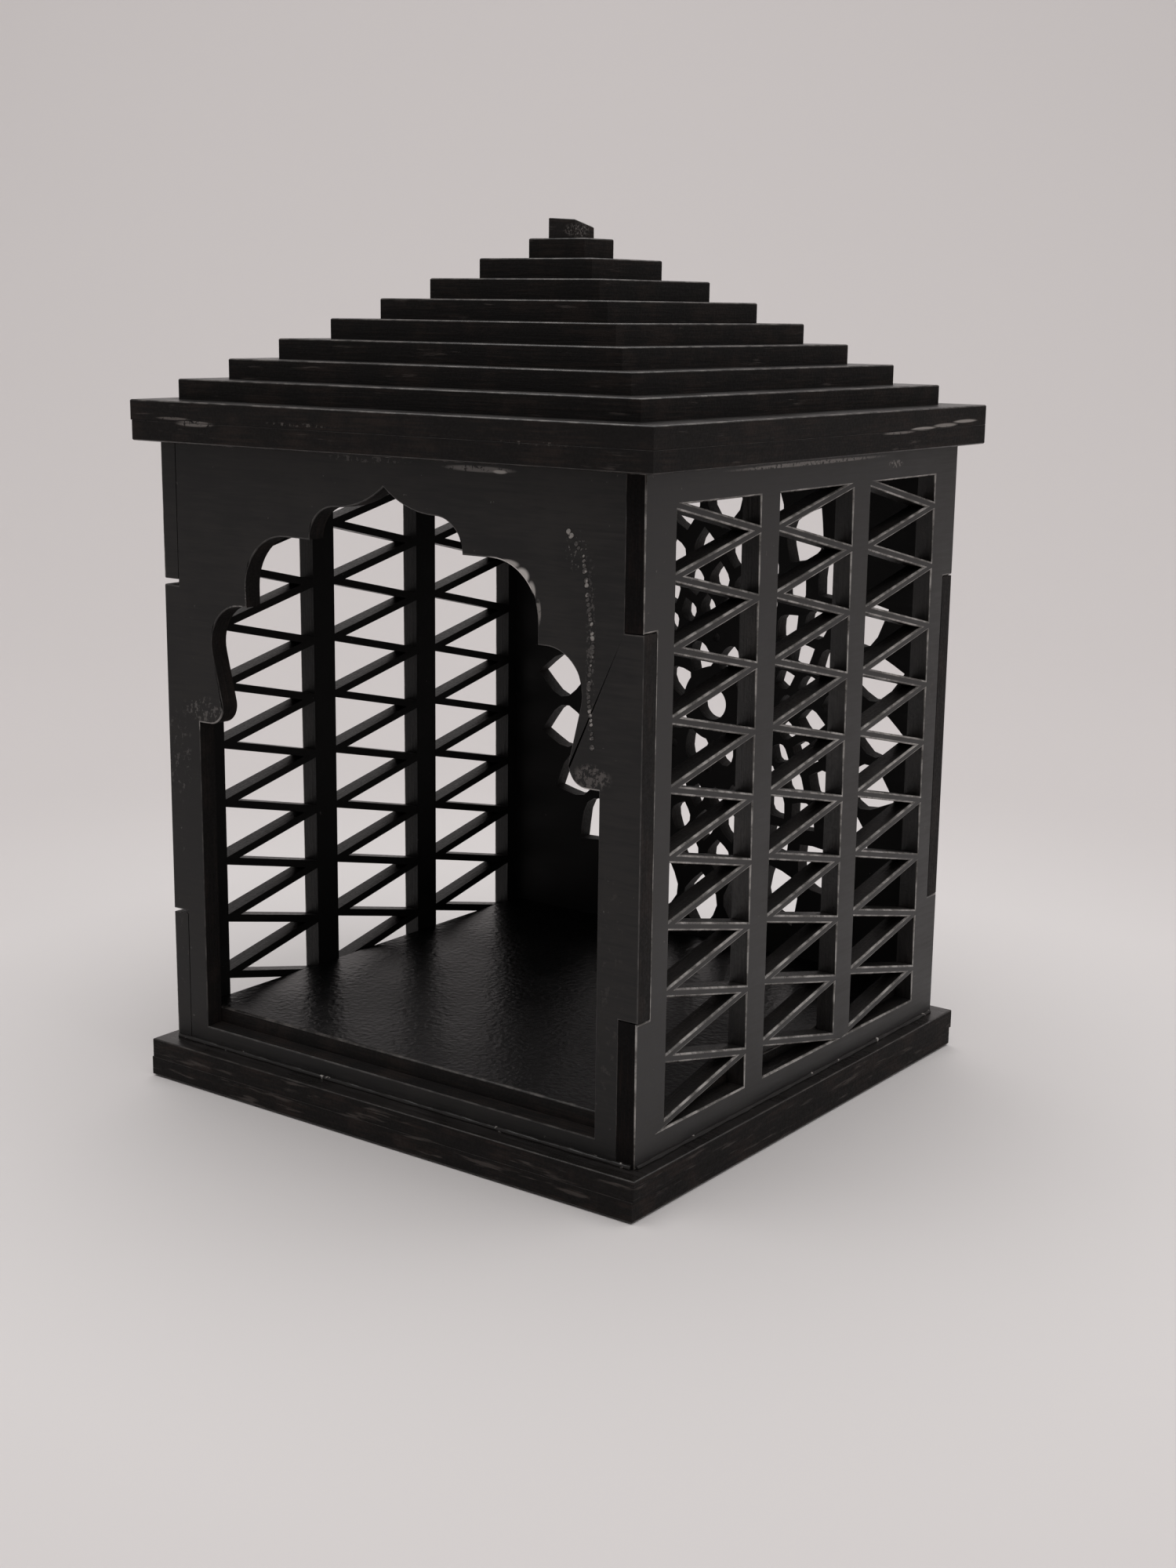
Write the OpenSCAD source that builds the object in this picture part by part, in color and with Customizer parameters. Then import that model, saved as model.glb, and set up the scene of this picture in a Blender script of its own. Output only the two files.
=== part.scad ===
// Miniature black-painted board temple for a car dashboard.
// Millimetres, +Z up. Origin: centre of the underside of the base.
// The arched front faces -Y. Every board is flat-cut and glued.

/* [Boards] */
// Thickness of every cut board except the inner floor
board_t = 3; // [2.6:0.1:3.4]
// Thickness of the inner floor board
floor_t = 5.5; // [4.5:0.1:6]

/* [Body] */
// Width of the body across the arched front
body_w = 88; // [76:1:104]
// Depth of the body, front face to back face
body_d = 85; // [76:1:104]
// Height of the four walls
body_h = 93; // [90:1:112]

/* [Base] */
// How far the base boards stand out past the side walls
base_out_x = 2.25; // [1:0.25:5]
// How far the base boards stand out past the front and back walls
base_out_y = 3.25; // [1:0.25:5]
// How far the lower base board has slipped to the left of the upper
base_slip = 0.25; // [0:0.05:0.6]

/* [Finger joints] */
// Height of the side walls' fingers at top and bottom of each corner
finger_h = 20.5; // [14:0.5:26]
// Gap left in each finger joint and round the inner floor
seam_gap = 0.1; // [0.05:0.05:0.2]
// Open gap over the front wall's left finger
slack_over = 0.9; // [0.1:0.1:1.5]
// Open gap under the front wall's left finger
slack_under = 0.5; // [0.1:0.1:1.5]

/* [Arched front] */
// Width of each upright beside the doorway
jamb_w = 6.7; // [5:0.1:8]
// Height of the strip under the doorway
sill_h = 3; // [2.5:0.1:4]
// Height of the ledge where the arch starts
spring_h = 51.2; // [44:0.2:58]
// Solid strip over the point of the arch
arch_over = 4.4; // [3:0.2:8]

/* [Lattice sides] */
// Solid border in front of and behind the lattice
side_border = 7; // [5:0.1:9]
// Solid border under the lattice
low_border = 3.9; // [3.2:0.1:5]
// Solid border over the lattice
top_border = 4.5; // [3.5:0.1:6]
// Width of the two upright posts in the lattice
post_w = 4.9; // [3.5:0.1:6]
// Width of each slanting lattice bar
bar_w = 1.2; // [0.8:0.1:1.6]
// Number of zigzag steps up each lattice bay
zig_n = 9; // [7:1:10]
// How far the left wall's lattice is cut towards the back
left_back = 1.6; // [0:0.1:2.4]
// How far the left wall's lattice is cut below the right wall's
left_drop = 0.6; // [0:0.1:1.2]

/* [Pierced back] */
// Solid border beside the pierced disc, out to the wall's edge
jali_border = 6.6; // [6:0.2:12]
// Height of the disc over its width
jali_rise = 1.1; // [0.9:0.01:1.1]
// How far the disc's centre is above the middle of the wall
jali_up = 0.7; // [-1:0.1:2]
// How far the disc sits to the right of the middle
jali_shift = 1.5; // [-2:0.1:2]
// How far the disc is turned clockwise, in degrees
jali_turn = 2.4; // [0:0.2:7.4]
// Number of leaf holes in each outer ring
jali_n = 24; // [16:1:24]
// Number of petals round the middle
petal_n = 8; // [6:1:8]

/* [Roof] */
// How far the eave boards stand out past the side walls
eave_out_x = 3; // [2:0.25:5]
// How far the eave boards stand out past the front and back walls
eave_out_y = 3; // [2:0.25:5]
// Narrow side of the smallest roof board
roof_top_w = 7.3; // [6:0.1:14]
// How far the lower eave board has slipped to the right of the upper
eave_slip = 0.25; // [0:0.05:0.6]
// How far the three lowest roof boards have slipped to the left
tier_slip = 0.4; // [0:0.05:1]

/* [Finial] */
// Side of the small square block on top
finial_w = 4.8; // [3.8:0.1:5.2]
// Height of the block at its tall corner
finial_h = 3; // [2.4:0.1:3.6]
// Slope of the block's sawn top towards the back in degrees
finial_slope = 12; // [0:1:14]
// Slope of the block's sawn top towards the right in degrees
finial_lean = 3; // [0:1:10]

/* [Hidden] */
$fn = 64;
roof_n = 8;
slipped_n = 3;
base_h = 2*board_t;
eave_z = base_h + body_h;
base_w = body_w + 2*base_out_x;
base_d = body_d + 2*base_out_y;
eave_w = body_w + 2*eave_out_x;
eave_d = body_d + 2*eave_out_y;
roof_step = (min(eave_w, eave_d) - roof_top_w)/(2*roof_n);
// The disc is kept clear of the wall's top and bottom edges
jali_r = min(body_w/2 - jali_border, (body_h/2 - 4.5 - abs(jali_up))/jali_rise);
TIERS = [for (k = [1:roof_n]) str("roof_tier_", k)];

// ---- helpers ------------------------------------------------------------

// Flat board lying on the XY plane, centred, at height z
module board(w, d, z, x = 0) {
    translate([x - w/2, -d/2, z]) cube([w, d, board_t]);
}

// Stand a drawing up: drawing x -> +X, drawing y -> +Z, thickness -> +Y
module stand_x(y) {
    translate([0, y, base_h]) rotate([90, 0, 0])
        translate([0, 0, -board_t]) linear_extrude(board_t) children();
}

// Stand a drawing up on a side: drawing x -> +Y, drawing y -> +Z
module stand_y(x) {
    translate([x, 0, base_h]) rotate([90, 0, 90])
        linear_extrude(board_t) children();
}

// Bar of width bar_w between two points of a drawing, run on past both
module bar(a, b, over) {
    l = norm(b - a);
    ang = atan2(b[1] - a[1], b[0] - a[0]);
    translate(a) rotate(ang) translate([-over, -bar_w/2]) square([l + 2*over, bar_w]);
}

// ---- flat outlines ------------------------------------------------------

// Front and back wall: the middle finger reaches the full width
module end_outline() {
    mid_h = body_h - 2*finger_h;
    in_w = body_w - 2*board_t;
    union() {
        translate([-in_w/2 + seam_gap/2, 0]) square([in_w - seam_gap, body_h]);
        translate([-body_w/2, finger_h + seam_gap/2]) square([body_w, mid_h - seam_gap]);
    }
}

// Side wall: the top and bottom fingers reach the full depth
module side_outline() {
    in_d = body_d - 2*board_t;
    union() {
        translate([-in_d/2 + seam_gap/2, 0]) square([in_d - seam_gap, body_h]);
        for (z = [0, body_h - finger_h + seam_gap/2])
            translate([-body_d/2, z]) square([body_d, finger_h - seam_gap/2]);
    }
}

// Doorway under a cusped arch: a hollow-curved point, then three lobes
// and a nib on each side, standing on straight jambs
module doorway() {
    jx = body_w/2 - jamb_w;
    top = body_h - arch_over;
    // the lobes keep their shape when the span or the rise changes
    kx = jx/37.3;
    kz = (top - spring_h)/37.4;
    // small lobe beside the point
    ra = 5*kx;
    ax = 9.1*kx;
    az = top - 3.3*kz - ra;
    // middle lobe
    rb = 8*kx;
    bx = 19*kx;
    bz = az + 0.1*kz - rb;
    // lower lobe
    rc = 6*kx;
    cx = 28.3*kx;
    cz = spring_h + 12.3*kz;
    // nib over the ledge
    rn = 2.85*kx;
    nx = 35.1*kx;
    nz = spring_h + rn;
    // hollow curve from the small lobe up to the point
    sag = az + ra;
    rise = top - sag;
    ro = (ax*ax + rise*rise)/(2*rise);
    // straight line that touches the lower lobe and the nib
    line_a = atan2(nz - cz, nx - cx) - asin((rc + rn)/norm([nx - cx, nz - cz]));
    from_c = [cx, cz] + rc*[cos(line_a + 90), sin(line_a + 90)];
    to_n = [nx, nz] + rn*[cos(line_a - 90), sin(line_a - 90)];
    difference() {
        union() {
            difference() {
                translate([-ax, sill_h]) square([2*ax, top + rise - sill_h]);
                for (m = [-1, 1]) translate([m*ax, sag + ro]) circle(ro);
            }
            translate([-jx, sill_h]) square([2*jx, spring_h - sill_h]);
            translate([-bx, sill_h]) square([2*bx, bz + rb - sill_h]);
            translate([-bx - rb, sill_h]) square([2*(bx + rb), bz - sill_h]);
            translate([-cx, sill_h]) square([2*cx, cz + rc - sill_h]);
            for (m = [0, 1]) mirror([m, 0]) {
                translate([ax, az]) circle(ra);
                translate([bx, bz]) circle(rb);
                translate([cx, cz]) circle(rc);
                polygon([[0, cz], [cx, cz], from_c, to_n, [nx, spring_h], [0, spring_h - 1]]);
            }
        }
        for (m = [-1, 1]) translate([m*nx, nz]) circle(rn);
    }
}

module front_outline() {
    difference() {
        end_outline();
        doorway();
        // the left finger was cut short at both ends
        translate([-body_w/2 - board_t, 0]) square([2*board_t, finger_h + slack_under]);
        translate([-body_w/2 - board_t, body_h - finger_h - slack_over])
            square([2*board_t, finger_h + slack_over]);
    }
}

// Side panel: zigzag bars between the borders and two upright posts,
// with the whole lattice moved by shift along the wall and drop down it
module lattice_outline(shift = 0, drop = 0) {
    ow = body_d - 2*side_border;
    bay = (ow - 2*post_w)/3;
    top = body_h - top_border;
    oh = top - low_border;
    pitch = (oh - bar_w/2)/zig_n;
    union() {
        difference() {
            side_outline();
            translate([shift - ow/2, low_border - drop]) square([ow, oh]);
        }
        translate([shift, -drop]) intersection() {
            translate([-ow/2, low_border]) square([ow, oh]);
            union() {
                for (b = [0:2]) {
                    near = -ow/2 + b*(bay + post_w);
                    // the middle bay is drawn the other way round
                    full_x = b == 1 ? near + bay : near;
                    half_x = b == 1 ? near : near + bay;
                    for (k = [0:zig_n - 1], j = [0, 1])
                        bar([full_x, top - (k + j)*pitch], [half_x, top - (k + 0.5)*pitch], bar_w);
                }
                for (b = [1:2])
                    translate([-ow/2 + b*bay + (b - 1)*post_w, low_border]) square([post_w, oh]);
            }
        }
    }
}

// Point of the pierced disc at radius r and angle a; the disc is drawn out upwards
function on_disc(r, a) = [r*cos(a), jali_rise*r*sin(a)];

// Pointed leaf hole from radius r0 to r1 at angle a, w degrees wide each way.
// It is fullest below the middle and hollow-sided towards its outer point.
module leaf_hole(r0, r1, w, a) {
    n = 6;
    side = [for (i = [0:n]) [r0 + (r1 - r0)*i/n, w*pow(sin(180*pow(i/n, 0.85)), 1.2)]];
    polygon(concat(
        [for (i = [0:n]) on_disc(side[i][0], a + side[i][1])],
        [for (i = [n - 1:-1:1]) on_disc(side[i][0], a - side[i][1])]));
}

// Crescent petal round the middle, w degrees wide each way
module petal_hole(r0, r1, w, a) {
    n = 4;
    polygon(concat(
        [for (i = [-n:n]) on_disc(r0 + 0.6 + (r1 - r0 - 0.6)*cos(90*i/n), a + w*i/n)],
        [for (i = [n - 1:-1:1 - n]) on_disc(r0, a + w*i/n)]));
}

// Pierced disc of the back panel, ring by ring from the outside.
// Each ring of leaves sits half a turn between the leaves of the next.
module jali_holes() {
    k = jali_r/37.4;
    turn = 360/jali_n;
    fill = 24/jali_n;
    // ends of the leaves in each ring, from the outer ring in
    ring1 = [27.2*k, jali_r];
    ring2 = [21.6*k, 27.4*k];
    ring3 = [17*k, 22.3*k];
    ring4 = [13.2*k, 17.2*k];
    for (i = [0:jali_n - 1]) {
        leaf_hole(ring1[0], ring1[1], 6.4*fill, i*turn);
        leaf_hole(ring2[0], ring2[1], 5.4*fill, (i + 0.5)*turn);
        leaf_hole(ring3[0], ring3[1], 5.9*fill, i*turn);
        leaf_hole(ring4[0], ring4[1], 5.9*fill, (i + 0.5)*turn);
    }
    // petals, the small round holes between their tips, and the eye
    petal_in = 5.8*k;
    petal_out = 10.2*k;
    dot_at = 10.4*k;
    dot_r = 0.75*k;
    eye_r = 2.8*k;
    for (i = [0:petal_n - 1]) {
        petal_hole(petal_in, petal_out, 160/petal_n, (i + 0.5)*360/petal_n);
        translate(on_disc(dot_at, i*360/petal_n)) circle(dot_r);
    }
    circle(eye_r);
}

module back_outline() {
    difference() {
        end_outline();
        translate([jali_shift, body_h/2 + jali_up]) rotate(-jali_turn) jali_holes();
    }
}

// ---- sub-parts ----------------------------------------------------------

module base_lower_board() color("#231d1a") board(base_w, base_d, 0, -base_slip);
module base_upper_board() color("#231d1a") board(base_w, base_d, board_t);

module floor_board() color("#26282a")
    translate([-body_w/2 + board_t + seam_gap, -body_d/2 + board_t + seam_gap, base_h])
        cube([body_w - 2*board_t - 2*seam_gap, body_d - 2*board_t - 2*seam_gap, floor_t]);

module front_wall() color("#2a292a") stand_x(-body_d/2) front_outline();
module back_wall() color("#2a292a") stand_x(body_d/2 - board_t) back_outline();
module right_wall() color("#3a3838") stand_y(body_w/2 - board_t) lattice_outline();
module left_wall() color("#3a3838")
    rotate([0, 0, 180]) stand_y(body_w/2 - board_t) lattice_outline(-left_back, left_drop);

module eave_lower_board() color("#1d1816") board(eave_w - eave_slip, eave_d, eave_z, eave_slip/2);
module eave_upper_board() color("#1d1816") board(eave_w, eave_d, eave_z + board_t);

module roof_tier(k) color("#1d1816")
    board(eave_w - 2*k*roof_step, eave_d - 2*k*roof_step, eave_z + (k + 1)*board_t,
        k <= slipped_n ? -tier_slip : 0);

module finial_block() color("#1d1816")
    translate([0, 0, eave_z + (roof_n + 2)*board_t])
        difference() {
            translate([-finial_w/2, -finial_w/2, 0]) cube([finial_w, finial_w, finial_h]);
            translate([-finial_w/2, -finial_w/2, finial_h])
                rotate([-finial_slope, finial_lean, 0])
                    translate([-finial_w, -finial_w, 0]) cube([4*finial_w, 4*finial_w, finial_h]);
        }

// ---- assembly -----------------------------------------------------------

base_lower_board();
base_upper_board();
floor_board();
front_wall();
back_wall();
left_wall();
right_wall();
eave_lower_board();
eave_upper_board();
for (k = [1:roof_n])
    roof_tier(k);
finial_block();
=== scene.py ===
"""Looks of a miniature board temple for a car dashboard.

The temple is laser-cut from 3 mm fibreboard, glued with white wood glue and
painted black by hand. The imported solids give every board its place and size;
this file breaks their edges, paints them and adds the glue between them.
"""

import logging
import math
from dataclasses import dataclass
from enum import Enum

import bpy
from mathutils import Matrix, Vector


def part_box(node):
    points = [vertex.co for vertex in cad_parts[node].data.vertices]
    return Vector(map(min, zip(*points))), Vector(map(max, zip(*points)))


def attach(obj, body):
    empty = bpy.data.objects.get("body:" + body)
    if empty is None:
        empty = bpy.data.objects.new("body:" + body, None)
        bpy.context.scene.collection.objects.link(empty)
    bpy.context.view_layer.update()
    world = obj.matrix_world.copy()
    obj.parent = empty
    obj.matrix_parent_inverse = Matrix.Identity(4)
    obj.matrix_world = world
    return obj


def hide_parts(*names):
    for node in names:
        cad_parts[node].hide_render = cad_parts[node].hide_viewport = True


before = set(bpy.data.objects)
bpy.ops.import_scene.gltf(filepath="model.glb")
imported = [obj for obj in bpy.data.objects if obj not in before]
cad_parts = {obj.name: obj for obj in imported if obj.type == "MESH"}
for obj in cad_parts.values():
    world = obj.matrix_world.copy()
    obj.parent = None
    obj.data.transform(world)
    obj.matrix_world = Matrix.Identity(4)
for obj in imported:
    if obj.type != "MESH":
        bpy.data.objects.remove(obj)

MM = 0.001
BODY = "root"

# settings of the shader nodes
PLUS = {"operation": "ADD"}
TIMES = {"operation": "MULTIPLY"}
LENGTH = {"operation": "LENGTH"}
COLOURS = {"data_type": "RGBA"}
SMOOTH = {"interpolation_type": "SMOOTHSTEP"}

# refractive index of each film
ACRYLIC_IOR = 1.49
ENAMEL_IOR = 1.52
GLUE_IOR = 1.47
PAPER_IOR = 1.45

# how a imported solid's loose triangles are joined, and its corners shaded
WELD_MM = 0.002
FLAT_DEGREES = 0.4
BOARD_SMOOTH_DEGREES = 50
BEAD_SMOOTH_DEGREES = 60

log = logging.getLogger("temple")


class Axis(Enum):
    """A direction of the temple: across the front, into its depth, or up."""

    ACROSS = 0
    DEPTH = 1
    UP = 2


class Part(Enum):
    """Places on a board that take a finish of their own, as material numbers."""

    FACE = 0
    EDGE = 1
    ARRIS = 2
    END = 3
    INNER = 4


class Slot(Enum):
    """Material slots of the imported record."""

    FACE = "painted_board_face"
    SIDE = "painted_board_side"
    ROOF = "painted_roof_board"
    FLOOR = "floor_gloss_paint"


# ---------------------------------------------------------------- shading


def linear(code: str) -> tuple[float, float, float, float]:
    """Turn an sRGB hex colour into linear RGBA.

    Args:
        code: colour as "#rrggbb".

    Returns:
        Linear red, green, blue and an alpha of one.
    """
    parts = [int(code[i:i + 2], 16) / 255 for i in (1, 3, 5)]
    rgb = [c / 12.92 if c <= 0.04045 else ((c + 0.055) / 1.055) ** 2.4 for c in parts]
    return (rgb[0], rgb[1], rgb[2], 1.0)


def add(tree: bpy.types.NodeTree, kind: str, props: dict | None = None,
        inputs: dict | None = None) -> bpy.types.Node:
    """Add one shader node with its settings and links.

    Args:
        tree: node tree that takes the node.
        kind: node type without the "ShaderNode" in front.
        props: properties of the node itself.
        inputs: socket name or number to a value, or to the socket that feeds it, or to
            the node whose first output feeds it.

    Returns:
        The new node.
    """
    node = tree.nodes.new("ShaderNode" + kind)
    for name, value in (props or {}).items():
        setattr(node, name, value)
    for key, value in (inputs or {}).items():
        if isinstance(value, bpy.types.Node):
            value = value.outputs[0]
        if isinstance(value, bpy.types.NodeSocket):
            tree.links.new(value, node.inputs[key])
        else:
            node.inputs[key].default_value = value
    return node


def new_material(name: str) -> tuple[bpy.types.Material, bpy.types.NodeTree]:
    """Start an empty node material.

    Args:
        name: name of the finish.

    Returns:
        The material and its node tree.
    """
    material = bpy.data.materials.new(name)
    material.use_nodes = True
    material.node_tree.nodes.clear()
    return material, material.node_tree


def place(tree: bpy.types.NodeTree, scale: tuple[float, float, float] = (1000, 1000, 1000),
          centre: tuple[float, float, float] = (0, 0, 0)) -> bpy.types.NodeSocket:
    """Object coordinates in millimetres, stretched and centred.

    Args:
        tree: node tree.
        scale: factor on each axis; 1000 gives millimetres.
        centre: point, in millimetres, that becomes the origin.

    Returns:
        The coordinate socket.
    """
    coords = add(tree, "TexCoord")
    shift = tuple(-c * s / 1000 for c, s in zip(centre, scale))
    return add(tree, "Mapping", None, {"Vector": coords.outputs["Object"],
                                       "Location": shift, "Scale": scale}).outputs[0]


@dataclass(frozen=True)
class Scuff:
    """One worn or stained place on a board, an oval broken up by grit.

    Args:
        centre: its middle in millimetres.
        reach: its half size in millimetres along each axis.
        grit: grains a millimetre.
        cover: share of the oval that is marked, from 0 to 1.
        colour: colour of the mark.
    """

    centre: tuple[float, float, float]
    reach: tuple[float, float, float]
    grit: float = 1.5
    cover: float = 0.4
    colour: str = "#8d8986"

    def mask(self, tree: bpy.types.NodeTree) -> bpy.types.NodeSocket:
        """Draw the marked share of the surface.

        Args:
            tree: node tree.

        Returns:
            A socket that is 1 where the board is marked.
        """
        at = place(tree, tuple(1000 / r for r in self.reach), self.centre)
        far = add(tree, "VectorMath", LENGTH, {0: at}).outputs["Value"]
        inside = add(tree, "MapRange", SMOOTH, {
            "Value": far, "From Min": 0.55, "From Max": 1.0, "To Min": 1.0, "To Max": 0.0})
        grains = add(tree, "TexNoise", None, {
            "Vector": place(tree, centre=self.centre), "Scale": self.grit, "Detail": 4.0,
            "Roughness": 0.7})
        level = 0.72 - 0.4 * self.cover
        marked = add(tree, "MapRange", SMOOTH, {
            "Value": grains, "From Min": level, "From Max": level + 0.07})
        return add(tree, "Math", TIMES, {0: inside, 1: marked}).outputs[0]


@dataclass(frozen=True)
class SatinPaint:
    """Satin acrylic paint brushed over sealed fibreboard.

    It is a very dark grey film. The eye sees it through its sheen: pale where it
    mirrors the table at a low angle, almost black where it mirrors the dark room,
    with faint level streaks from the brush.

    Args:
        name: name of the finish.
        tone: colour of a full coat.
        thin: colour where the coat is thin.
        sheen: roughness of the film.
        brush: direction of the brush strokes.
        streak_mm: height of one brush streak.
        gleam: strength of the mirror part.
        scuffs: worn and stained places.
    """

    name: str
    tone: str
    thin: str
    sheen: float
    brush: Axis
    streak_mm: float = 0.45
    gleam: float = 0.5
    scuffs: tuple[Scuff, ...] = ()

    def make(self) -> bpy.types.Material:
        """Build the material.

        Returns:
            The material.
        """
        material, tree = new_material(self.name)
        across = 1000 / self.streak_mm
        along = across / 16
        scale = [across] * 3
        scale[self.brush.value] = along
        streaks, cloud, pores, dots = (
            add(tree, "TexNoise", None, {"Vector": at, "Scale": grain, "Detail": detail,
                                         "Roughness": break_up})
            for at, grain, detail, break_up in (
                (place(tree, tuple(scale)), 1.0, 3.0, 0.6),
                (place(tree), 0.09, 3.0, 0.55),
                (place(tree), 1.6, 3.0, 0.6),
                (place(tree, centre=(3, 5, 7)), 1.1, 2.0, 0.5)))
        specks = add(tree, "MapRange", SMOOTH, {"Value": dots, "From Min": 0.74,
                                                "From Max": 0.8})
        wear = add(tree, "Math", PLUS, {0: streaks, 1: cloud})
        thinness = add(tree, "MapRange", SMOOTH, {"Value": wear, "From Min": 0.75,
                                                  "From Max": 1.3})
        colour = add(tree, "Mix", COLOURS, {
            0: thinness, 6: linear(self.tone), 7: linear(self.thin)}).outputs[2]
        pale = add(tree, "Math", TIMES, {0: specks, 1: 0.35})
        colour = add(tree, "Mix", COLOURS, {
            0: pale, 6: colour, 7: linear("#75716e")}).outputs[2]
        cloudy = add(tree, "MapRange", SMOOTH, {"Value": cloud, "From Min": 0.3,
                                                "From Max": 0.7})
        dull = add(tree, "Math", TIMES, {0: cloudy, 1: 0.12})
        brushed = add(tree, "MapRange", SMOOTH, {
            "Value": streaks, "From Min": 0.3, "From Max": 0.7,
            "To Min": self.sheen - 0.05, "To Max": self.sheen + 0.07})
        rough = add(tree, "Math", PLUS, {0: brushed, 1: dull})
        for scuff in self.scuffs:
            mask = scuff.mask(tree)
            colour = add(tree, "Mix", COLOURS, {
                0: mask, 6: colour, 7: linear(scuff.colour)}).outputs[2]
            duller = add(tree, "Math", TIMES, {0: mask, 1: 0.25})
            rough = add(tree, "Math", PLUS, {0: rough, 1: duller})
        strokes = add(tree, "Math", TIMES, {0: streaks, 1: 0.6})
        pits = add(tree, "Math", TIMES, {0: pores, 1: 0.4})
        height = add(tree, "Math", PLUS, {0: strokes, 1: pits})
        bump = add(tree, "Bump", None, {"Height": height, "Strength": 0.35, "Distance": 0.00006})
        surface = add(tree, "BsdfPrincipled", None, {
            "Base Color": colour, "Roughness": rough, "IOR": ACRYLIC_IOR,
            "Specular IOR Level": self.gleam, "Normal": bump.outputs[0]})
        add(tree, "OutputMaterial", None, {"Surface": surface.outputs[0]})
        return material


@dataclass(frozen=True)
class SawnEdge:
    """Laser-cut edge of fibreboard, soaked with thin black paint.

    The fibres lie in layers, so the edge shows fine lines along the board. It is
    matt and brown-black, and the scorched fibre shows through in places.

    Args:
        name: name of the finish.
        tone: colour of the painted edge.
        fibre: colour of the fibre that shows through.
        layers: direction in which the board's layers are stacked.
        bare: share of the edge where fibre shows.
        sheen: roughness.
        gleam: strength of the mirror part, low on a porous edge.
        smear: share of the edge under dry brush smears.
        marks: glue and scuffs on the edge.
    """

    name: str
    tone: str
    fibre: str
    layers: Axis
    bare: float = 0.35
    sheen: float = 0.72
    gleam: float = 0.28
    smear: float = 0.0
    marks: tuple[Scuff, ...] = ()

    def make(self) -> bpy.types.Material:
        """Build the material.

        Returns:
            The material.
        """
        material, tree = new_material(self.name)
        # layers about 0.35 mm apart, drawn out twenty times along the board
        scale = [140.0] * 3
        scale[self.layers.value] = 2800.0
        # and dry brush smears, about 8 mm long and 0.8 mm high
        stroke = [120.0] * 3
        stroke[self.layers.value] = 1250.0
        lines, cloud, grit, smears = (
            add(tree, "TexNoise", None, {"Vector": at, "Scale": grain, "Detail": detail,
                                         "Roughness": break_up})
            for at, grain, detail, break_up in (
                (place(tree, tuple(scale)), 1.0, 4.0, 0.65),
                (place(tree), 0.16, 3.0, 0.6),
                (place(tree), 2.4, 3.0, 0.6),
                (place(tree, tuple(stroke), (2, 9, 4)), 1.0, 3.0, 0.6)))
        level = 1.28 - 0.35 * self.bare
        fibres = add(tree, "Math", PLUS, {0: lines, 1: cloud})
        shows = add(tree, "MapRange", SMOOTH, {
            "Value": fibres, "From Min": level - 0.25, "From Max": level + 0.1})
        colour = add(tree, "Mix", COLOURS, {
            0: shows, 6: linear(self.tone), 7: linear(self.fibre)}).outputs[2]
        level = 0.72 - 0.25 * self.smear
        dragged = add(tree, "MapRange", SMOOTH, {
            "Value": smears, "From Min": level, "From Max": level + 0.14})
        smeared = add(tree, "Math", TIMES, {0: dragged, 1: 0.7 if self.smear else 0.0})
        colour = add(tree, "Mix", COLOURS, {
            0: smeared, 6: colour, 7: linear("#4a4441")}).outputs[2]
        for mark in self.marks:
            colour = add(tree, "Mix", COLOURS, {
                0: mark.mask(tree), 6: colour, 7: linear(mark.colour)}).outputs[2]
        grains = add(tree, "Math", TIMES, {0: grit, 1: 0.5})
        height = add(tree, "Math", PLUS, {0: lines, 1: grains})
        ridges = add(tree, "Math", TIMES, {0: smeared, 1: 0.8})
        height = add(tree, "Math", PLUS, {0: height, 1: ridges})
        bump = add(tree, "Bump", None, {"Height": height, "Strength": 0.6, "Distance": 0.00012})
        rough = add(tree, "MapRange", SMOOTH, {
            "Value": grit, "From Min": 0.25, "From Max": 0.75,
            "To Min": self.sheen - 0.08, "To Max": self.sheen + 0.1})
        surface = add(tree, "BsdfPrincipled", None, {
            "Base Color": colour, "Roughness": rough, "IOR": ACRYLIC_IOR,
            "Specular IOR Level": self.gleam, "Normal": bump.outputs[0]})
        add(tree, "OutputMaterial", None, {"Surface": surface.outputs[0]})
        return material


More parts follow.
